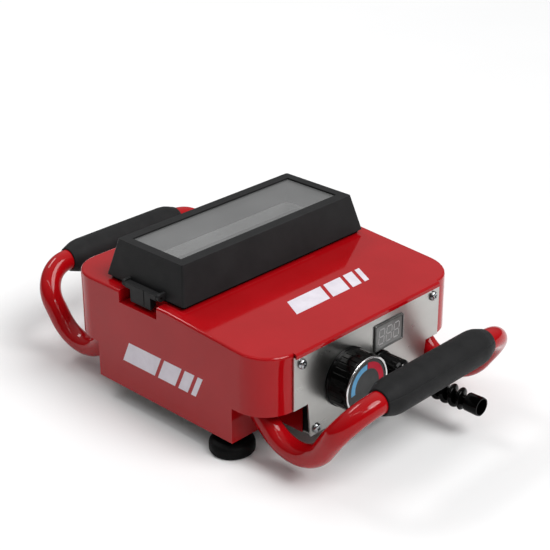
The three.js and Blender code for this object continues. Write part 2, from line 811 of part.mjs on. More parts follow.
const motorFront = 108;
const motorSpanY = [trayCentreY - 17, trayCentreY + 17];
const bracketSpanY = [trayCentreY - 22, trayCentreY + 22];
const motor = rod(motorRadius, 52, motorFront - 20, 24, "x", [0, trayCentreY, motorAxisZ])
  .add(boxSolid([motorFront - 21, motorFront], motorSpanY, [motorAxisZ - 20, motorAxisZ + 17]))
  .subtract(rod(3.3, 90, 120, 16, "x", [0, trayCentreY, motorAxisZ]));
addPiece("gear_motor", motor, "steel");
const motorShaft = addPiece("motor_shaft", turned([[0, 92], [3, 92], [3, 126], [0, 126]], 16, "x"), "steel");
motorShaft.position.set(0, trayCentreY, motorAxisZ);
const bracket = boxSolid([motorFront + gap, motorFront + gap + 2], bracketSpanY, [baseZ + 2, 83.5])
  .add(boxSolid([motorFront - 30, motorFront + gap + 1], bracketSpanY, [baseZ + 2, baseZ + 4]))
  .subtract(rod(6, 90, 120, 20, "x", [0, trayCentreY, motorAxisZ]));
addPiece("motor_bracket", bracket, "steel");

// Heater rods under the tray, with insulation and an over-temperature cut-out.
[-18, 18].forEach((offset, index) => {
  const heater = rod(3.6, -104, 104, 12, "x", [0, trayCentreY + offset, trayBottomZ - 3.6 - gap]);
  addPiece(`heater_rod_${index + 1}`, heater, "steel");
});
const cutout = boxSolid([-9, 9], [trayCentreY - 9, trayCentreY + 9], [trayBottomZ - 7, trayBottomZ - gap]);
addPiece("thermal_cutout", cutout, "black");
const insulation = boxSolid([-110, 110], [trayCentreY - 40, trayCentreY + 40], [84, trayBottomZ - 7.6]);
addPiece("insulation", insulation, "insulation");

// ---------- lid ----------

// A block with four sloping sides: half sizes at the bottom, and how far the top is set in.
function slopingBlock(halfX, halfY, z0, z1, insetX, insetY, radius) {
  const low = roundedRectangle(halfX, halfY, radius, 3);
  const high = roundedRectangle(halfX - insetX, halfY - insetY, radius, 3);
  const positions = [];
  const push = (p, z) => positions.push(p[0], p[1] + trayCentreY, z);
  const count = low.length;
  for (let i = 0; i < count; i++) {
    const j = (i + 1) % count;
    push(low[i], z0);
    push(low[j], z0);
    push(high[j], z1);
    push(low[i], z0);
    push(high[j], z1);
    push(high[i], z1);
    push([0, 0], z1);
    push(high[i], z1);
    push(high[j], z1);
    push([0, 0], z0);
    push(low[j], z0);
    push(low[i], z0);
  }
  const geometry = new THREE.BufferGeometry();
  geometry.setAttribute("position", new THREE.Float32BufferAttribute(positions, 3));
  return toSolid(geometry);
}

const lidTopZ = lidBaseZ + lidHeight;
const lidOutside = slopingBlock(lidHalfWidth, lidHalfDepth, lidBaseZ, lidTopZ, lidInsetX, lidInsetY, 2.5);
const insideShare = (lidHeight - lidRoof) / lidHeight;
const lidInside = slopingBlock(
  lidHalfWidth - lidWall,
  lidHalfDepth - lidWall,
  lidBaseZ - 0.01,
  lidTopZ - lidRoof,
  lidInsetX * insideShare,
  lidInsetY * insideShare,
  1.5,
);
const windowMouth = boxSolid(
  [-windowHalfWidth, windowHalfWidth],
  [windowCentreY - windowHalfDepth, windowCentreY + windowHalfDepth],
  [lidTopZ - 5, lidTopZ + 5],
);
let lidFrame = lidOutside.subtract(lidInside).subtract(windowMouth);

// Lugs that carry the latch pins stand on the end walls.
const lugOutline = [];
for (let i = 0; i <= 8; i++) {
  const angle = Math.PI / 2 + (i / 8) * Math.PI;
  lugOutline.push([-latchPivotX + lugRadius * Math.cos(angle), latchPivotZ + lugRadius * Math.sin(angle)]);
}
lugOutline.push([-lidHalfWidth + 4, lidBaseZ], [-lidHalfWidth + 4, latchPivotZ + lugRadius]);
function lug(y0, y1) {
  const geometry = prism(lugOutline, -y1, -y0);
  geometry.rotateX(Math.PI / 2);
  return toSolid(geometry);
}
const lugs = lug(notchCentreY - lugOuterY, notchCentreY - lugInnerY)
  .add(lug(notchCentreY + lugInnerY, notchCentreY + lugOuterY))
  .subtract(lidInside)
  .subtract(rod(latchPinRadius + 0.15, -10, 90, 12, "y", [-latchPivotX, 0, latchPivotZ]));
lidFrame = lidFrame.add(lugs).add(mirrorX(lugs));
addPiece("lid_frame", lidFrame, "black");

const pane = boxBetween(
  [-windowHalfWidth - 5, windowHalfWidth + 5],
  [windowCentreY - windowHalfDepth - 4, windowCentreY + windowHalfDepth + 4],
  [lidTopZ - lidRoof - gap - windowThickness, lidTopZ - lidRoof - gap],
);
addPiece("lid_window", pane, "glass");

const sealOutside = prism(
  roundedRectangle(lidHalfWidth - 3.4, lidHalfDepth - 3.4, 2).map(atTray),
  topZ + gap,
  lidBaseZ - gap,
);
const sealInside = prism(roundedRectangle(lidHalfWidth - 7, lidHalfDepth - 7, 2).map(atTray), topZ, lidBaseZ);
addPiece("lid_seal", toSolid(sealOutside).subtract(toSolid(sealInside)), "rubber");

// ---------- latches ----------

const latchOutline = [
  [4.2, -1.2],
  [4.2, 0.8],
  [3.3, 2.8],
  [-3.7, 2.8],
  [-4.2, 2.3],
  [-4.2, -2.8],
  [-3, -3.8],
  [2.6, -3.4],
];
const tongueOutline = [
  [-4.2, -2],
  [-4.2, -16.4],
  [-3.5, -17.2],
  [-2.6, -17.2],
  [3.6, -12.6],
  [3.6, -2],
];
function latchPrism(outline, halfWidth) {
  const geometry = prism(outline, -halfWidth, halfWidth);
  geometry.rotateX(Math.PI / 2);
  return toSolid(geometry);
}
const latchShape = latchPrism(latchOutline, latchHalfWidth)
  .add(latchPrism(tongueOutline, tongueHalfWidth))
  .subtract(rod(latchPinRadius + 0.15, -40, 40, 12, "y", [0, 0, 0]))
  .subtract(boxSolid([-5, -3.4], [-6.3, -5.1], [-14.6, 5]));
const pinReach = lugOuterY + 0.4;
const latchPin = turned(
  [[0, -pinReach], [latchPinRadius, -pinReach], [latchPinRadius, pinReach], [0, pinReach]],
  12,
  "y",
);
for (const [name, sign] of [["left", -1], ["right", 1]]) {
  const shape = sign < 0 ? latchShape : mirrorX(latchShape);
  const latch = addPiece(`latch_${name}`, shape, "black");
  latch.position.set(sign * latchPivotX, notchCentreY, latchPivotZ);
  const pin = addPiece(`latch_pin_${name}`, latchPin.clone(), "steel");
  pin.position.set(sign * latchPivotX, notchCentreY, latchPivotZ);
}

export default part;
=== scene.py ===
"""Ski and snowboard waxing machine: the looks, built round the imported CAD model.

Lengths in this file are in millimetres and are turned into metres where a mesh is made.
"""

import math

import bmesh
import bpy
from mathutils import Matrix, Quaternion, Vector


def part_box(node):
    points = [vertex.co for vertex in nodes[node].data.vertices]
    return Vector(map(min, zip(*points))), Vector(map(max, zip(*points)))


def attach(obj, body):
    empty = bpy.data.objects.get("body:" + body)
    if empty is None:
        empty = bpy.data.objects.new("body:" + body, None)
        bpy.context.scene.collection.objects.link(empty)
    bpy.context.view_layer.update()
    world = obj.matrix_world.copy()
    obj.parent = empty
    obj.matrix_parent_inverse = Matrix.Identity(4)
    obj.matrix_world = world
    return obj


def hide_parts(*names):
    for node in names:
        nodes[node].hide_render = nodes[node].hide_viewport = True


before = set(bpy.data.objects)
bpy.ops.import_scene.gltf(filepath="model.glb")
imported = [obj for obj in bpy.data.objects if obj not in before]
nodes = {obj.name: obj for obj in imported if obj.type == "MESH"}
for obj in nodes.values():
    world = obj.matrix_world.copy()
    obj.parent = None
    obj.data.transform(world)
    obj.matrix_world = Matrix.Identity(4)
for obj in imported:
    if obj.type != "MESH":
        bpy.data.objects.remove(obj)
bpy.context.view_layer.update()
MM = 0.001
GAP = 0.3  # between pieces that touch

# ---------------------------------------------------------------- camera

CAMERA_PLACE = (-0.9727, -0.9581, 0.7751)
CAMERA_AIM = (0.6485, 0.6272, -0.4314)
CAMERA_ROLL = math.radians(-0.27)
CAMERA_VIEW = math.radians(22.206)
SENSOR = 36.0

camera_data = bpy.data.cameras.new("camera")
camera_data.sensor_width = SENSOR
camera_data.lens = SENSOR / 2 / math.tan(CAMERA_VIEW / 2)
camera_data.clip_start = 0.05
camera_data.clip_end = 60
camera = bpy.data.objects.new("camera", camera_data)
bpy.context.scene.collection.objects.link(camera)
camera.location = CAMERA_PLACE
camera.rotation_mode = "QUATERNION"
level = Vector(CAMERA_AIM).to_track_quat("-Z", "Y")
camera.rotation_quaternion = level @ Quaternion((0, 0, 1), CAMERA_ROLL)
bpy.context.scene.camera = camera

# ---------------------------------------------------------------- sizes taken from the frame


def size_of(node):
    """Lowest and highest corner of a CAD node, in millimetres."""
    low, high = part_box(node)
    return low / MM, high / MM


grip_low, grip_high = size_of("grip_front")
GRIP_Y = -(grip_low.y + grip_high.y) / 2
GRIP_Z = (grip_low.z + grip_high.z) / 2
GRIP_HALF = (grip_high.x - grip_low.x) / 2
GRIP_RADIUS = (grip_high.z - grip_low.z) / 2
handle_high = size_of("handle_rear")[1]
TUBE_RADIUS = 12.0
LEG_TOP_X = handle_high.x - TUBE_RADIUS
LEG_BOTTOM = Vector((122, 171.2, 2))
LEG_RISE = Vector((0, -44.5, 40))
UPPER_BEND = 39
LOWER_BEND = 47
WALL_Y = 102

panel_low, panel_high = size_of("front_panel")
PANEL_FRONT = panel_low.y
knob_low, knob_high = size_of("temperature_knob")
KNOB = Vector(((knob_low.x + knob_high.x) / 2, knob_high.y, (knob_low.z + knob_high.z) / 2))
KNOB_SKIRT = 0.8
KNOB_RADIUS = (knob_high.x - knob_low.x) / 2 - KNOB_SKIRT
KNOB_DEPTH = 28
switch_low, switch_high = size_of("switch_knob")
SWITCH = Vector(
    ((switch_low.x + switch_high.x) / 2, PANEL_FRONT - GAP, (switch_low.z + switch_high.z) / 2)
)
SWITCH_RADIUS = (switch_high.x - switch_low.x) / 2
gland_low, gland_high = size_of("cable_gland")
GLAND = Vector(
    ((gland_low.x + gland_high.x) / 2, PANEL_FRONT - GAP, (gland_low.z + gland_high.z) / 2)
)
GLAND_LENGTH = GLAND.y - gland_low.y
display_low, display_high = size_of("display_frame")
housing_low, housing_high = size_of("housing")
TOP_Z = housing_high.z
BEND_Y = -10
FRONT_TOP_Z = 126.6
FRONT_EDGE_Y = -149.5
SLOPE = (TOP_Z - FRONT_TOP_Z) / (BEND_Y - FRONT_EDGE_Y)

# ---------------------------------------------------------------- materials


def finish(
    name,
    dark,
    light,
    roughness=(0.3, 0.4),
    patch=25,
    grain=900,
    relief=0.05,
    depth=0.0002,
    stretch=(1, 1, 1),
    cells=False,
    **sockets,
):
    """A procedural finish: two tones in soft patches, uneven roughness and a fine relief."""
    material = bpy.data.materials.new(name)
    material.use_nodes = True
    tree = material.node_tree
    surface = tree.nodes["Principled BSDF"]

    def node(kind, **inputs):
        made = tree.nodes.new(kind)
        for key, value in inputs.items():
            made.inputs[key].default_value = value
        return made

    place = node("ShaderNodeTexCoord")
    spread = node("ShaderNodeMapping", Scale=stretch)
    tree.links.new(place.outputs["Object"], spread.inputs["Vector"])
    patches = node("ShaderNodeTexNoise", Scale=patch, Detail=4.0, Roughness=0.6)
    tree.links.new(spread.outputs["Vector"], patches.inputs["Vector"])
    tones = tree.nodes.new("ShaderNodeValToRGB")
    tones.color_ramp.elements[0].position = 0.35
    tones.color_ramp.elements[0].color = dark
    tones.color_ramp.elements[1].position = 0.65
    tones.color_ramp.elements[1].color = light
    tree.links.new(patches.outputs["Fac"], tones.inputs["Fac"])
    tree.links.new(tones.outputs["Color"], surface.inputs["Base Color"])

    smears = node("ShaderNodeTexNoise", Scale=patch * 2.7, Detail=5.0, Roughness=0.65)
    tree.links.new(spread.outputs["Vector"], smears.inputs["Vector"])
    rough = tree.nodes.new("ShaderNodeMapRange")
    rough.inputs["From Min"].default_value = 0.3
    rough.inputs["From Max"].default_value = 0.7
    rough.inputs["To Min"].default_value = roughness[0]
    rough.inputs["To Max"].default_value = roughness[1]
    tree.links.new(smears.outputs["Fac"], rough.inputs["Value"])
    tree.links.new(rough.outputs["Result"], surface.inputs["Roughness"])

    if cells:
        fine = node("ShaderNodeTexVoronoi", Scale=grain)
        height = fine.outputs["Distance"]
    else:
        fine = node("ShaderNodeTexNoise", Scale=grain, Detail=3.0)
        height = fine.outputs["Fac"]
    tree.links.new(spread.outputs["Vector"], fine.inputs["Vector"])
    bump = node("ShaderNodeBump", Strength=relief, Distance=depth)
    tree.links.new(height, bump.inputs["Height"])
    tree.links.new(bump.outputs["Normal"], surface.inputs["Normal"])
    for key, value in sockets.items():
        surface.inputs[key.replace("_", " ")].default_value = value
    return material


red_paint = finish(
    "red_paint", (0.33, 0.002, 0.004, 1), (0.365, 0.003, 0.006, 1), (0.05, 0.09), 14, 260, 0.03,
    Specular_IOR_Level=0.27,
)
black_shell = finish(
    "black_shell", (0.012, 0.012, 0.0125, 1), (0.016, 0.016, 0.0165, 1), (0.40, 0.50), 30, 1500, 0.35,
    depth=0.0003, cells=True, Specular_IOR_Level=0.14,
)
black_plastic = finish(
    "black_plastic", (0.003, 0.003, 0.003, 1), (0.005, 0.005, 0.005, 1), (0.28, 0.38), 40, 1800, 0.12,
    Specular_IOR_Level=0.1,
)
gloss_black = finish(
    "gloss_black", (0.0008, 0.0008, 0.0008, 1), (0.0014, 0.0014, 0.0014, 1), (0.08, 0.13), 35, 900, 0.03,
    Specular_IOR_Level=0.09,
)
rubber = finish(
    "rubber", (0.002, 0.002, 0.0022, 1), (0.0035, 0.0035, 0.0037, 1), (0.45, 0.6), 60, 1300, 0.25,
    Specular_IOR_Level=0.08,
)
grip_foam = finish(
    "grip_foam", (0.011, 0.011, 0.0115, 1), (0.015, 0.015, 0.0155, 1), (0.52, 0.62), 45, 1700, 0.4,
    depth=0.0003, cells=True, Specular_IOR_Level=0.12,
)
panel_steel = finish(
    "panel_steel", (0.48, 0.475, 0.46, 1), (0.52, 0.515, 0.495, 1), (0.27, 0.30), 20, 900, 0.02,
    stretch=(0.5, 1, 1.4), Metallic=1.0,
)
screw_steel = finish(
    "screw_steel", (0.34, 0.35, 0.36, 1), (0.44, 0.45, 0.46, 1), (0.14, 0.22), 120, 900, 0.04,
    Metallic=1.0,
)
steel = finish(
    "steel", (0.42, 0.42, 0.41, 1), (0.52, 0.52, 0.50, 1), (0.28, 0.40), 60, 700, 0.10, Metallic=1.0,
)
bright_steel = finish(
    "bright_steel", (0.72, 0.72, 0.72, 1), (0.82, 0.82, 0.82, 1), (0.10, 0.18), 120, 900, 0.04,
    Metallic=1.0,
)
aluminium = finish(
    "aluminium", (0.55, 0.56, 0.57, 1), (0.66, 0.67, 0.68, 1), (0.30, 0.42), 40, 600, 0.12,
    stretch=(0.3, 1, 1), Metallic=1.0,
)
brass = finish(
    "brass", (0.55, 0.38, 0.14, 1), (0.68, 0.49, 0.22, 1), (0.25, 0.38), 70, 700, 0.08, Metallic=1.0,
)
board_green = finish("board_green", (0.01, 0.09, 0.03, 1), (0.015, 0.12, 0.04, 1), (0.35, 0.5), 90, 700, 0.1)
insulation = finish(
    "insulation", (0.52, 0.49, 0.42, 1), (0.66, 0.63, 0.56, 1), (0.85, 0.95), 60, 500, 0.8, depth=0.001,
)
window = finish(
    "window", (0.27, 0.272, 0.272, 1), (0.32, 0.322, 0.322, 1), (0.05, 0.09), 9, 400, 0.02, Alpha=0.4,
)
drum_metal = finish(
    "drum_metal", (0.10, 0.10, 0.10, 1), (0.14, 0.14, 0.137, 1), (0.35, 0.5), 40, 600, 0.12,
    stretch=(0.3, 1, 1), Metallic=1.0,
)
tray_metal = finish(
    "tray_metal", (0.70, 0.70, 0.69, 1), (0.80, 0.80, 0.79, 1), (0.25, 0.38), 40, 600, 0.12,
    stretch=(0.3, 1, 1), Metallic=0.3,
)
meter_rim = finish("meter_rim", (0.05, 0.05, 0.049, 1), (0.08, 0.08, 0.078, 1), (0.12, 0.2), 60, 900, 0.03)
meter_face = finish(
    "meter_face", (0.12, 0.12, 0.118, 1), (0.15, 0.15, 0.146, 1), (0.18, 0.26), 60, 900, 0.03,
)
digit_pale = finish(
    "digit_pale", (0.30, 0.29, 0.29, 1), (0.35, 0.34, 0.34, 1), (0.35, 0.45), 200, 1500, 0.03,
)
blue_ink = finish(
    "blue_ink", (0.07, 0.24, 0.42, 1), (0.10, 0.29, 0.48, 1), (0.3, 0.4), 200, 1500, 0.03,
    Specular_IOR_Level=0.2,
)
red_ink = finish(
    "red_ink", (0.33, 0.003, 0.018, 1), (0.37, 0.004, 0.022, 1), (0.3, 0.4), 200, 1500, 0.03,
    Specular_IOR_Level=0.2,
)
knob_face = finish(
    "knob_face", (0.022, 0.023, 0.023, 1), (0.028, 0.029, 0.029, 1), (0.35, 0.45), 90, 1400, 0.06,
    Specular_IOR_Level=0.3,
)
decal_pale = finish(
    "decal_pale", (0.62, 0.58, 0.64, 1), (0.70, 0.66, 0.72, 1), (0.28, 0.40), 60, 800, 0.03,
)
floor_pale = finish(
    "floor_pale", (0.81, 0.81, 0.81, 1), (0.83, 0.83, 0.83, 1), (0.85, 0.95), 0.8, 60, 0.02,
    Specular_IOR_Level=0.1,
)

# ---------------------------------------------------------------- mesh helpers

KEPT_EDGE_ANGLE = math.radians(38)  # CAD edges sharper than this are softened


def put(name, mesh, material, body, replaces=(), angle=35, bevel=0.0):
    """A mesh as a named piece that rides on a body."""
    mesh.materials.append(material)
    piece = bpy.data.objects.new(name, mesh)
    bpy.context.scene.collection.objects.link(piece)
    for polygon in mesh.polygons:
        polygon.use_smooth = True
    mesh.set_sharp_from_angle(angle=math.radians(angle))
    if bevel:
        rounding = piece.modifiers.new("rounding", "BEVEL")
        rounding.width = bevel * MM
        rounding.segments = 3
        rounding.limit_method = "ANGLE"
        rounding.angle_limit = math.radians(angle)
        rounding.harden_normals = True
    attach(piece, body)
    if replaces:
        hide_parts(*replaces)
    return piece


def mesh_of(name, points, faces):
    """A mesh from points in millimetres, with every face turned outwards."""
    mesh = bpy.data.meshes.new(name)
    mesh.from_pydata([Vector(p) * MM for p in points], [], faces)
    work = bmesh.new()
    work.from_mesh(mesh)
    bmesh.ops.remove_doubles(work, verts=work.verts, dist=1e-6)
    bmesh.ops.recalc_face_normals(work, faces=work.faces)
    work.to_mesh(mesh)
    work.free()
    return mesh


def filleted(outline, radius, steps=4):
    """Rounds every inner corner of a profile."""
    made = [outline[0]]
    for i in range(1, len(outline) - 1):
        corner = Vector(outline[i])
        back = Vector(outline[i - 1]) - corner
        ahead = Vector(outline[i + 1]) - corner
        reach = min(radius, back.length * 0.45, ahead.length * 0.45)
        if reach < 1e-3:
            made.append(outline[i])
            continue
        start = corner + back.normalized() * reach
        end = corner + ahead.normalized() * reach
        for k in range(steps + 1):
            t = k / steps
            point = (1 - t) ** 2 * start + 2 * t * (1 - t) * corner + t ** 2 * end
            made.append((point.x, point.y))
    made.append(outline[-1])
    return made


def turned(name, profile, centre, axis, segments=96, change=None):
    """A profile of (radius, height) turned about an axis through centre."""
    turn = Vector((0, 0, 1)).rotation_difference(Vector(axis))
    points, faces, rows = [], [], []
    for radius, height in profile:
        row = []
        for i in range(1 if radius == 0 else segments):
            angle = 2 * math.pi * i / segments
            r = change(radius, height, angle) if change and radius else radius
            local = Vector((r * math.cos(angle), r * math.sin(angle), height))
            row.append(len(points))
            points.append(turn @ local + Vector(centre))
        rows.append(row)
    for low, high in zip(rows, rows[1:]):
        for i in range(segments):
            j = (i + 1) % segments
            a, b = low[i % len(low)], low[j % len(low)]
            c, d = high[j % len(high)], high[i % len(high)]
            corners = list(dict.fromkeys((a, b, c, d)))
            if len(corners) > 2:
                faces.append(corners)
    return mesh_of(name, points, faces)


def bent_path(corners, bends, step=math.radians(3)):
    """The centre line of a bent tube: straight lengths joined by round bends."""
    path = [corners[0]]
    for i in range(1, len(corners) - 1):
        corner = corners[i]
        before = (corners[i - 1] - corner).normalized()
        after = (corners[i + 1] - corner).normalized()
        half = before.angle(after) / 2
        bend = bends[i - 1]
        centre = corner + (before + after).normalized() * (bend / math.sin(half))
        cut = bend / math.tan(half)
        start = corner + before * cut - centre
        end = corner + after * cut - centre
        turn = start.angle(end)
        normal = start.cross(end).normalized()
        count = math.ceil(turn / step)
        for k in range(count + 1):
            path.append(centre + Quaternion(normal, turn * k / count) @ start)
    path.append(corners[-1])
    return path


def swept(name, path, radius, sides=40):
    """A round tube along a path, closed at both ends."""
    points, faces, rows = [], [], []
    direction = (path[1] - path[0]).normalized()
    side = direction.orthogonal().normalized()
    for i, place in enumerate(path):
        ahead = path[min(i + 1, len(path) - 1)] - place
        behind = place - path[max(i - 1, 0)]
        tangent = (ahead.normalized() + behind.normalized()).normalized()
        side = direction.rotation_difference(tangent) @ side
        direction = tangent
        across = direction.cross(side)
        row = []
        for k in range(sides):
            angle = 2 * math.pi * k / sides
            row.append(len(points))
            points.append(place + radius * (math.cos(angle) * side + math.sin(angle) * across))
        rows.append(row)
    for low, high in zip(rows, rows[1:]):
        for k in range(sides):
            j = (k + 1) % sides
            faces.append((low[k], low[j], high[j], high[k]))
    faces.append(rows[0][::-1])
    faces.append(rows[-1])
    return mesh_of(name, points, faces)


def block(low, high):
    """The points and faces of a box."""
    xs, ys, zs = zip(low, high)
    points = [(x, y, z) for x in xs for y in ys for z in zs]
    faces = [(0, 1, 3, 2), (4, 6, 7, 5), (0, 4, 5, 1), (2, 3, 7, 6), (0, 2, 6, 4), (1, 5, 7, 3)]
    return points, faces


def plate(name, outline, to_space, thickness):
    """A flat outline given thickness; to_space puts (a, b, height) in the frame."""
    count = len(outline)
    points = [to_space(a, b, 0) for a, b in outline] + [to_space(a, b, thickness) for a, b in outline]
    faces = [tuple(range(count))[::-1], tuple(range(count, 2 * count))]
    for i in range(count):
        j = (i + 1) % count
        faces.append((i, j, count + j, count + i))
    return mesh_of(name, points, faces)


def joined(name, *meshes):
    """Several meshes as one."""
    work = bmesh.new()
    for mesh in meshes:
        work.from_mesh(mesh)
        bpy.data.meshes.remove(mesh)
    whole = bpy.data.meshes.new(name)
    work.to_mesh(whole)
    work.free()
    return whole


def keep(name, material, edge=0.35):
    """A CAD node whose shape is right: new finish, softened edges and smooth round faces."""
    node = nodes[name]
    node.data.materials.clear()
    node.data.materials.append(material)
    if "custom_normal" in node.data.attributes:
        node.data.attributes.remove(node.data.attributes["custom_normal"])
    for polygon in node.data.polygons:
        polygon.use_smooth = True
        polygon.material_index = 0
    weld = node.modifiers.new("weld", "WELD")
    weld.merge_threshold = 1e-5
    flat = node.modifiers.new("flat", "DECIMATE")
    flat.decimate_type = "DISSOLVE"
    flat.angle_limit = math.radians(0.6)
    if edge:
        rounding = node.modifiers.new("rounding", "BEVEL")
        rounding.width = edge * MM
        rounding.segments = 2
        rounding.limit_method = "ANGLE"
        rounding.angle_limit = KEPT_EDGE_ANGLE
    even = node.modifiers.new("even", "WEIGHTED_NORMAL")
    even.keep_sharp = True


# ---------------------------------------------------------------- body

keep("housing", red_paint, 0.5)
keep("base_plate", steel)
keep("front_panel", panel_steel, 0.25)
keep("lid_frame", black_shell, 1.1)
keep("lid_window", window, 0.3)
keep("lid_seal", rubber, 0)
keep("wax_tray", tray_metal, 0.4)
for name in ("latch_left", "latch_right"):
    keep(name, black_shell, 0.45)
for name in ("motor_shaft", "thermostat_shaft", "roller_shaft"):
    keep(name, steel, 0.2)
for name in ("latch_pin_left", "latch_pin_right"):
    keep(name, black_plastic, 0.2)
for name in ("control_box", "thermostat", "switch_body", "thermal_cutout", "gland_nut"):
    keep(name, black_plastic, 0.3)
for name in ("gear_motor", "motor_bracket", "heater_rod_1", "heater_rod_2"):
    keep(name, steel, 0.3)
for name in ("roller_pulley", "motor_pulley"):
    keep(name, aluminium, 0.2)
for name in ("bush_left", "bush_right"):
    keep(name, brass, 0.2)
for number in range(1, 5):
    keep(f"foot_stud_{number}", steel, 0.2)
    keep(f"handle_bolt_{number}", steel, 0.3)
keep("drive_belt", rubber, 0)
keep("control_board", board_green, 0.2)
keep("insulation", insulation, 0.5)

# ---------------------------------------------------------------- handles and grips

along = LEG_RISE.normalized()
FLANGE_INNER, FLANGE_OUTER = 24, 16  # from the tube's middle, across
FLANGE_FOOT, FLANGE_TOP = 66, 94
FLANGE_THICK = 3
LEG_SHORT = 1.5  # the leg ends just outside the wall
leg_length = (LEG_BOTTOM.y - WALL_Y - LEG_SHORT) / -along.y
right_half = [
    Vector((0, GRIP_Y, GRIP_Z)),
    Vector((LEG_TOP_X, GRIP_Y, GRIP_Z)),
    LEG_BOTTOM,
    LEG_BOTTOM + along * leg_length,
]
half_path = bent_path(right_half, [UPPER_BEND, LOWER_BEND])
whole_path = [Vector((-p.x, p.y, p.z)) for p in reversed(half_path[1:])] + half_path
for name, sign in (("handle_rear", 1), ("handle_front", -1)):
    parts = [swept(name, [Vector((p.x, sign * p.y, p.z)) for p in whole_path], TUBE_RADIUS)]
    for side in (-1, 1):
        inner, outer = sorted(
            (side * (LEG_BOTTOM.x - FLANGE_INNER), side * (LEG_BOTTOM.x + FLANGE_OUTER))
        )
        near, far = sorted((sign * (WALL_Y + GAP), sign * (WALL_Y + GAP + FLANGE_THICK)))
        parts.append(mesh_of("flange", *block((inner, near, FLANGE_FOOT), (outer, far, FLANGE_TOP))))
    put(name + "_tube", joined(name, *parts), red_paint, "chassis", [name], 35, 0.5)

taper = [
    (TUBE_RADIUS + 0.3, -GRIP_HALF),
    (TUBE_RADIUS + 2.0, -GRIP_HALF),
    (GRIP_RADIUS - 2.8, -GRIP_HALF + 7),
    (GRIP_RADIUS - 0.8, -GRIP_HALF + 13),
    (GRIP_RADIUS, -GRIP_HALF + 20),
]
grip_profile = taper + [(r, -h) for r, h in reversed(taper)]
grip_profile.append(grip_profile[0])
SEAM_RISE = math.radians(24)
SEAM_HALF_ANGLE = math.radians(2.2)
SEAM_DEPTH = 0.5


def seamed(sign):
    """A fine moulding seam along the grip, on the side that faces away from the body."""
    place = math.atan2(sign * math.cos(SEAM_RISE), -math.sin(SEAM_RISE)) % (2 * math.pi)

    def change(radius, height, angle):
        if radius < TUBE_RADIUS + 1:
            return radius
        return radius - SEAM_DEPTH * max(0.0, 1 - abs(angle - place) / SEAM_HALF_ANGLE)

    return change


for name, sign in (("grip_front", -1), ("grip_rear", 1)):
    centre = (0, sign * GRIP_Y, GRIP_Z)
    shape = turned(name, filleted(grip_profile, 2.4, 5), centre, (1, 0, 0), 288, seamed(sign))
    put(name + "_sleeve", shape, grip_foam, "chassis", [name], 50)

# ---------------------------------------------------------------- feet

for number in range(1, 5):
    low, high = size_of(f"foot_{number}")
    radius = (high.x - low.x) / 2
    height = high.z - low.z
    profile = [
        (0, 0), (radius - 2, 0), (radius, 2.4), (radius, 9.5), (radius - 1.4, 13),
        (radius - 6, 15.2), (9, 15.8), (9, height), (5, height), (5, height - 5), (0, height - 5),
    ]
    centre = ((low.x + high.x) / 2, (low.y + high.y) / 2, 0)
    shape = turned(f"foot_pad_{number}", filleted(profile, 1.4), centre, (0, 0, 1), 96)
    put(f"foot_pad_{number}", shape, rubber, "chassis", [f"foot_{number}"])

# ---------------------------------------------------------------- panel screws

for number in range(1, 5):
    low, high = size_of(f"panel_screw_{number}")
    centre = Vector(((low.x + high.x) / 2, PANEL_FRONT - GAP, (low.z + high.z) / 2))
    head = [(0, -4.2), (2.4, -4.2), (2.4, 0), (5.4, 0), (5.3, 1.5), (4.2, 2.8), (2.4, 3.35), (0, 3.5)]
    shape = turned("screw", filleted(head, 0.6), centre, (0, -1, 0), 48)
    screw = put(
        f"screw_{number}", shape, screw_steel, "chassis", [f"panel_screw_{number}"]
    )
    arms = []
    for index in (0, 1):
        wide, tall = (2.6, 0.6) if index else (0.6, 2.6)
        arms.append(mesh_of("slot", *block((-wide, -6, -tall), (wide, -1.6, tall))))
    slots = joined("slots", *arms)
    cutter = bpy.data.objects.new("cutter", slots)
    bpy.context.scene.collection.objects.link(cutter)
    cutter.matrix_world = Matrix.Translation(centre * MM) @ Matrix.Rotation(0.5 * number, 4, "Y")
    recess = screw.modifiers.new("recess", "BOOLEAN")
    recess.object = cutter
    recess.operation = "DIFFERENCE"
    recess.use_self = True
    bpy.context.view_layer.update()
    graph = bpy.context.evaluated_depsgraph_get()
    finished = bpy.data.meshes.new_from_object(screw.evaluated_get(graph))
    screw.modifiers.remove(recess)
    screw.data = finished
    finished.set_sharp_from_angle(angle=math.radians(30))
    bpy.data.objects.remove(cutter)

# ---------------------------------------------------------------- temperature knob

FLUTES = 32
FLUTE_DEPTH = 0.55
FLUTE_SHARE = 0.09  # half of a groove's width, as a share of the spacing


def fluted(radius, height, angle):
    """Flat lands round the knob's side, parted by thin grooves that fade out at both ends."""
    if radius < KNOB_RADIUS - 0.1 or radius > KNOB_RADIUS + 0.1:
        return radius
    inside = min(max((height - 4.5) / 1.5, 0), 1) * min(max((KNOB_DEPTH - 2 - height) / 1.2, 0), 1)
    phase = (angle * FLUTES / (2 * math.pi)) % 1
    across = (phase - 0.5) * 2 * math.pi / FLUTES
    land = radius * math.cos(math.pi / FLUTES) / math.cos(across)
    groove = max(0.0, 1 - min(phase, 1 - phase) / FLUTE_SHARE)
    return radius + inside * (land - radius - FLUTE_DEPTH * groove)


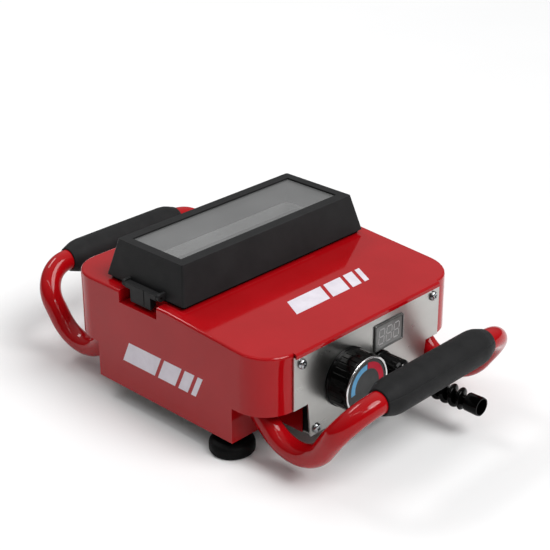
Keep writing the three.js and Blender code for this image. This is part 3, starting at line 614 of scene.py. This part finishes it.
knob_profile = [
    (0, 0), (KNOB_RADIUS + KNOB_SKIRT, 0), (KNOB_RADIUS + KNOB_SKIRT, 2.6), (KNOB_RADIUS, 3.2),
    (KNOB_RADIUS, 4.5), (KNOB_RADIUS, 6), (KNOB_RADIUS, 10), (KNOB_RADIUS, 16),
    (KNOB_RADIUS, 21), (KNOB_RADIUS, KNOB_DEPTH - 3.2), (KNOB_RADIUS, KNOB_DEPTH - 2),
    (KNOB_RADIUS - 0.2, KNOB_DEPTH - 0.9), (28.6, KNOB_DEPTH - 0.9), (28.6, KNOB_DEPTH - 2.2),
    (0, KNOB_DEPTH - 2.2),
]
out = (0, -1, 0)
shape = turned("knob_body", filleted(knob_profile, 0.4), KNOB, out, FLUTES * 16, fluted)
put("knob_body", shape, gloss_black, "temperature_dial", ["temperature_knob"], 40)
RING_INNER, RING_OUTER = 28.9, 31.2
ring_profile = [
    (RING_INNER, KNOB_DEPTH - 1.3), (RING_OUTER, KNOB_DEPTH - 0.8),
    (RING_OUTER, KNOB_DEPTH + 0.1), (RING_OUTER - 1, KNOB_DEPTH + 0.8),
    (RING_INNER, KNOB_DEPTH + 0.1), (RING_INNER, KNOB_DEPTH - 1.3),
]
shape = turned("knob_chrome", filleted(ring_profile, 0.5), KNOB, out, 144)
put("knob_chrome", shape, bright_steel, "temperature_dial", ["knob_ring"])
DIAL_RADIUS = 28.4
face_profile = [
    (0, KNOB_DEPTH - 2), (DIAL_RADIUS, KNOB_DEPTH - 2), (DIAL_RADIUS, KNOB_DEPTH - 0.9),
    (DIAL_RADIUS - 0.5, KNOB_DEPTH - 0.5), (0, KNOB_DEPTH - 0.5),
]
shape = turned("knob_dial", filleted(face_profile, 0.3), KNOB, out, 144)
put("knob_dial", shape, knob_face, "temperature_dial")


def arc_mark(name, start, end, inner, outer, material):
    """A flat arc printed on the knob's face, between two angles from +X towards +Z."""
    count = 40
    outline = []
    for radius, order in ((outer, range(count + 1)), (inner, range(count, -1, -1))):
        for i in order:
            angle = math.radians(start + (end - start) * i / count)
            outline.append((radius * math.cos(angle), radius * math.sin(angle)))

    def to_space(a, b, height):
        return (KNOB.x + a, KNOB.y - KNOB_DEPTH + 0.5 - height, KNOB.z + b)

    shape = plate(name, outline, to_space, 0.14)
    return put(name, shape, material, "temperature_dial")


arc_mark("dial_cold_arc", 190.6, 91, 18.0, 24.0, blue_ink)
arc_mark("dial_hot_arc", 88.5, -3, 18.3, 25.3, red_ink)

# ---------------------------------------------------------------- selector

SWITCH_DEPTH = SWITCH.y - switch_low.y
KNURLS = 18
KNURL_DEPTH = 0.35
selector_profile = [
    (0, 0), (SWITCH_RADIUS, 0), (SWITCH_RADIUS, 3), (SWITCH_RADIUS - 1, 4),
    (SWITCH_RADIUS - 1, SWITCH_DEPTH - 3), (SWITCH_RADIUS - 3.4, SWITCH_DEPTH), (0, SWITCH_DEPTH - 0.6),
]


def knurled(radius, height, angle):
    """Shallow flutes on the selector's side."""
    if radius < SWITCH_RADIUS - 1.6 or height < 4.5 or height > SWITCH_DEPTH - 3.5:
        return radius
    return radius - KNURL_DEPTH * (0.5 + 0.5 * math.cos(KNURLS * angle))


shape = turned("selector_body", filleted(selector_profile, 0.8), SWITCH, out, 144, knurled)
put("selector_body", shape, gloss_black, "selector", ["switch_knob"], 40)
mark = [(x, SWITCH_RADIUS - z) for x, z in ((-1.1, 9), (1.1, 9), (1.1, 4.2), (-1.1, 4.2))]


def on_selector(a, b, height):
    """A place on the selector's end, seen from the front."""
    return (SWITCH.x + a, SWITCH.y - SWITCH_DEPTH + 0.45 - height, SWITCH.z + b)


put("selector_mark", plate("selector_mark", mark, on_selector, 0.4), digit_pale, "selector")

# ---------------------------------------------------------------- cable outlet

PITCH = 11.0
LAST_RIDGE = 74.0  # height of the last turn on the upper side
COIL_START = 8.0
COIL_END = 78.5
WIRE_HALF = 3.9
COIL_RADIUS = 11.8
CORE_RADIUS = 5.2


def coiled(radius, height, angle):
    """The bend relief's outside: one round rib wound in an open spiral like a spring."""
    if radius < CORE_RADIUS or height < COIL_START or height > COIL_END + 3:
        return radius
    turns = (height - LAST_RIDGE) / PITCH - angle / (2 * math.pi) + 0.25
    offset = ((turns + 0.5) % 1 - 0.5) * PITCH
    rise = math.sqrt(max(0.0, 1 - (offset / WIRE_HALF) ** 2))
    ends = min(max((COIL_END + 1 - height) / 2, 0), 1)
    return CORE_RADIUS + (COIL_RADIUS - CORE_RADIUS) * rise * ends


gland_profile = [(4.0, -10.8), (7.4, -10.8), (7.4, 0), (12.5, 0), (12.5, 4.6), (10.4, 6), (9, 7.8)]
COIL_STEPS = 170
for i in range(COIL_STEPS + 1):
    gland_profile.append((CORE_RADIUS, COIL_START + (COIL_END - COIL_START) * i / COIL_STEPS))
gland_profile += [
    (CORE_RADIUS, GLAND_LENGTH - 18.2), (8.4, GLAND_LENGTH - 17.4), (9.9, GLAND_LENGTH - 16.6),
    (10.3, GLAND_LENGTH - 2), (9.8, GLAND_LENGTH), (8.5, GLAND_LENGTH), (8.0, GLAND_LENGTH - 12),
    (4.0, GLAND_LENGTH - 13), (4.0, -10.8),
]
shape = turned("cable_relief", gland_profile, GLAND, out, 96, coiled)
put("cable_relief", shape, gloss_black, "chassis", ["cable_gland"], 50)

# ---------------------------------------------------------------- temperature meter

left, right = display_low.x, display_high.x
bottom, top = display_low.z, display_high.z
front = display_low.y


def rounded_frame(grow, radius, steps=6):
    """The meter's outline, set in by grow, with round corners."""
    inset = grow + radius
    corners = [
        (right - inset, top - inset, 0),
        (left + inset, top - inset, 90),
        (left + inset, bottom + inset, 180),
        (right - inset, bottom + inset, 270),
    ]
    outline = []
    for x, z, start in corners:
        for i in range(steps + 1):
            angle = math.radians(start + 90 * i / steps)
            outline.append((x + radius * math.cos(angle), z + radius * math.sin(angle)))
    return outline


rings = [
    (0, 2.2, -0.3),
    (0, 2.2, 1.4),
    (0.7, 1.7, 2.1),
    (1.7, 1.2, 2.1),
    (2.4, 0.9, 1.2),
    (2.4, 0.9, -0.3),
]
points, faces = [], []
for grow, radius, height in rings:
    points += [(x, PANEL_FRONT - height, z) for x, z in rounded_frame(grow, radius)]
count = len(points) // len(rings)
for k in range(len(rings)):
    m = (k + 1) % len(rings)
    for i in range(count):
        j = (i + 1) % count
        faces.append((k * count + i, k * count + j, m * count + j, m * count + i))
points = [(x, max(y, front) if y < PANEL_FRONT else y - 0.5, z) for x, y, z in points]
put(
    "meter_bezel", mesh_of("meter_bezel", points, faces), meter_rim, "chassis",
    ["display_frame"], 50,
)


def on_meter(height):
    """The places on a plane that stands this far out from the panel."""
    return lambda a, b, h: (a, PANEL_FRONT - height - h, b)


shape = plate("meter_glass", rounded_frame(2.2, 0.9), on_meter(0.3), 0.8)
put("meter_glass", shape, meter_face, "chassis", ["display_lens"])

DIGIT_HEIGHT = 16.5
DIGIT_WIDTH = 8.2
DIGIT_SPACING = 11.8
BAR_TIP_CUT = 0.55
STROKE = 1.35
LEAN = 0.09
digit_meshes = []
middle_z = (top + bottom) / 2
for index in range(3):
    centre_x = (left + right) / 2 + (index - 1) * DIGIT_SPACING
    half_w, half_h = DIGIT_WIDTH / 2, DIGIT_HEIGHT / 2
    bars = [
        (0, half_h, 1),
        (0, 0, 1),
        (0, -half_h, 1),
        (-half_w, half_h / 2, 0),
        (half_w, half_h / 2, 0),
        (-half_w, -half_h / 2, 0),
        (half_w, -half_h / 2, 0),
    ]
    for x, z, flat in bars:
        reach = (half_w if flat else half_h / 2) - BAR_TIP_CUT
        tip = reach - STROKE / 2
        half = STROKE / 2
        outline = [(-reach, 0), (-tip, half), (tip, half), (reach, 0), (tip, -half), (-tip, -half)]
        if not flat:
            outline = [(-b, a) for a, b in outline]
        moved = [(centre_x + x + a + LEAN * (z + b), middle_z + z + b) for a, b in outline]
        digit_meshes.append(plate("bar", moved, on_meter(1.1), 0.12))
put("meter_digits", joined("meter_digits", *digit_meshes), digit_pale, "chassis")

# ---------------------------------------------------------------- roller

roller_low, roller_high = size_of("roller")
ROLLER = Vector((0, (roller_low.y + roller_high.y) / 2, (roller_low.z + roller_high.z) / 2))
ROLLER_RADIUS = (roller_high.z - roller_low.z) / 2
ROLLER_HALF = roller_high.x
LANDS = 8
LAND_BEVEL = 1.5
BORE_RADIUS = 5.2
pitch = 2 * ROLLER_HALF / LANDS
profile = [(BORE_RADIUS, -ROLLER_HALF), (ROLLER_RADIUS - LAND_BEVEL, -ROLLER_HALF)]
for i in range(LANDS):
    start = -ROLLER_HALF + i * pitch
    profile += [(ROLLER_RADIUS, start + LAND_BEVEL), (ROLLER_RADIUS, start + pitch - LAND_BEVEL)]
    profile.append((ROLLER_RADIUS - LAND_BEVEL, start + pitch))
profile += [(BORE_RADIUS, ROLLER_HALF), (BORE_RADIUS, -ROLLER_HALF)]
shape = turned("wax_drum", filleted(profile, 0.5, 3), ROLLER, (1, 0, 0), 96)
put("wax_drum", shape, drum_metal, "wax_roller", ["roller"])

# ---------------------------------------------------------------- plain stripes in place of lettering

BAR_WIDTHS = (50, 26, 14, 7)
BAR_SPACE = 5
BAR_HALF_HEIGHT = 12
BAR_LEAN = 11
BARS_START = -58
INK = 0.12
ABOVE_PAINT = 0.02
SIDE_STRIPES_Y, SIDE_STRIPES_Z = 3.5, 67
TOP_STRIPES_X, TOP_STRIPES_Y = 4, -88


def stripes(name, to_space):
    """Four slanted bars, each shorter than the last, as a plain generic decoration."""
    bars = []
    start = BARS_START
    for width in BAR_WIDTHS:
        outline = [
            (start, -BAR_HALF_HEIGHT), (start + width, -BAR_HALF_HEIGHT),
            (start + width + BAR_LEAN, BAR_HALF_HEIGHT), (start + BAR_LEAN, BAR_HALF_HEIGHT),
        ]
        bars.append(plate("bar", outline, to_space, INK))
        start += width + BAR_SPACE
    put(name, joined(name, *bars), decal_pale, "chassis")


stripes(
    "side_stripes",
    lambda a, b, h: (
        housing_low.x - ABOVE_PAINT - h, SIDE_STRIPES_Y - a, SIDE_STRIPES_Z + b,
    ),
)
stripes(
    "top_stripes",
    lambda a, b, h: (
        TOP_STRIPES_X + a, TOP_STRIPES_Y + b,
        TOP_Z + SLOPE * (TOP_STRIPES_Y + b - BEND_Y) + ABOVE_PAINT + h,
    ),
)

# ---------------------------------------------------------------- studio

FLOOR_HALF = 9000
floor_corners = [(-FLOOR_HALF, -FLOOR_HALF, 0), (FLOOR_HALF, -FLOOR_HALF, 0)]
floor_corners += [(FLOOR_HALF, FLOOR_HALF, 0), (-FLOOR_HALF, FLOOR_HALF, 0)]
floor_mesh = mesh_of("floor", floor_corners, [(0, 1, 2, 3)])
floor_mesh.materials.append(floor_pale)
floor = bpy.data.objects.new("floor", floor_mesh)
bpy.context.scene.collection.objects.link(floor)

KEY_FROM = Vector((0.20, -0.59, 0.77))
KEY_ENERGY = 2.3
KEY_ANGLE = math.radians(34)  # a wide sun, for soft shadows
sun_data = bpy.data.lights.new("key", "SUN")
sun_data.energy = KEY_ENERGY
sun_data.angle = KEY_ANGLE
sun = bpy.data.objects.new("key", sun_data)
sun.rotation_mode = "QUATERNION"
sun.rotation_quaternion = (-KEY_FROM).to_track_quat("-Z", "Y")
bpy.context.scene.collection.objects.link(sun)


def strip(name, place, width, length, power):
    """A narrow softbox that looks at the object and leaves a thin streak on round gloss."""
    data = bpy.data.lights.new(name, "AREA")
    data.shape = "RECTANGLE"
    data.size = width
    data.size_y = length
    data.energy = power
    lamp = bpy.data.objects.new(name, data)
    lamp.location = place
    lamp.rotation_mode = "QUATERNION"
    lamp.rotation_quaternion = (-Vector(place)).to_track_quat("-Z", "X")
    bpy.context.scene.collection.objects.link(lamp)


strip("strip_front", (0.1, -2.2, 1.9), 0.07, 2.6, 13)
strip("strip_left", (-1.5, -0.6, 2.7), 0.07, 2.6, 8)
strip("softbox_rear", (-0.15, 1.8, 2.3), 0.5, 1.1, 17)

SKY = ((0.0, 0.05), (0.22, 0.24), (0.42, 0.46), (0.75, 0.85), (1.0, 1.0))  # height, light
SKY_MEAN = 0.60
BACKDROP = (0.86, 0.86, 0.86, 1)
SKY_TILT = 0.30  # how much brighter the sky is behind the object, to the right
world = bpy.data.worlds.new("studio")
bpy.context.scene.world = world
world.use_nodes = True
sky_tree = world.node_tree
sky_light = sky_tree.nodes["Background"]
sky_place = sky_tree.nodes.new("ShaderNodeTexCoord")
sky_split = sky_tree.nodes.new("ShaderNodeSeparateXYZ")
sky_ramp = sky_tree.nodes.new("ShaderNodeValToRGB")
while len(sky_ramp.color_ramp.elements) < len(SKY):
    sky_ramp.color_ramp.elements.new(0.5)
for element, (height, light) in zip(sky_ramp.color_ramp.elements, SKY):
    element.position = height
    element.color = (light * 0.99, light * 0.995, light, 1)
sky_tree.links.new(sky_place.outputs["Generated"], sky_split.inputs["Vector"])
sky_tree.links.new(sky_split.outputs["Z"], sky_ramp.inputs["Fac"])
sky_tree.links.new(sky_ramp.outputs["Color"], sky_light.inputs["Color"])
sky_sum = sky_tree.nodes.new("ShaderNodeMath")
sky_sum.operation = "ADD"
sky_tree.links.new(sky_split.outputs["X"], sky_sum.inputs[0])
sky_tree.links.new(sky_split.outputs["Y"], sky_sum.inputs[1])
sky_lean = sky_tree.nodes.new("ShaderNodeMath")
sky_lean.operation = "MULTIPLY_ADD"
sky_lean.inputs[1].default_value = SKY_TILT
sky_lean.inputs[2].default_value = SKY_MEAN
sky_tree.links.new(sky_sum.outputs[0], sky_lean.inputs[0])
sky_tree.links.new(sky_lean.outputs[0], sky_light.inputs["Strength"])
backdrop = sky_tree.nodes.new("ShaderNodeBackground")  # what the camera sees past the floor
backdrop.inputs["Color"].default_value = BACKDROP
seen = sky_tree.nodes.new("ShaderNodeLightPath")
backdrop_mix = sky_tree.nodes.new("ShaderNodeMixShader")
sky_tree.links.new(seen.outputs["Is Camera Ray"], backdrop_mix.inputs[0])
sky_tree.links.new(sky_light.outputs[0], backdrop_mix.inputs[1])
sky_tree.links.new(backdrop.outputs[0], backdrop_mix.inputs[2])
sky_tree.links.new(backdrop_mix.outputs[0], sky_tree.nodes["World Output"].inputs["Surface"])
bpy.context.scene.view_settings.view_transform = "Standard"
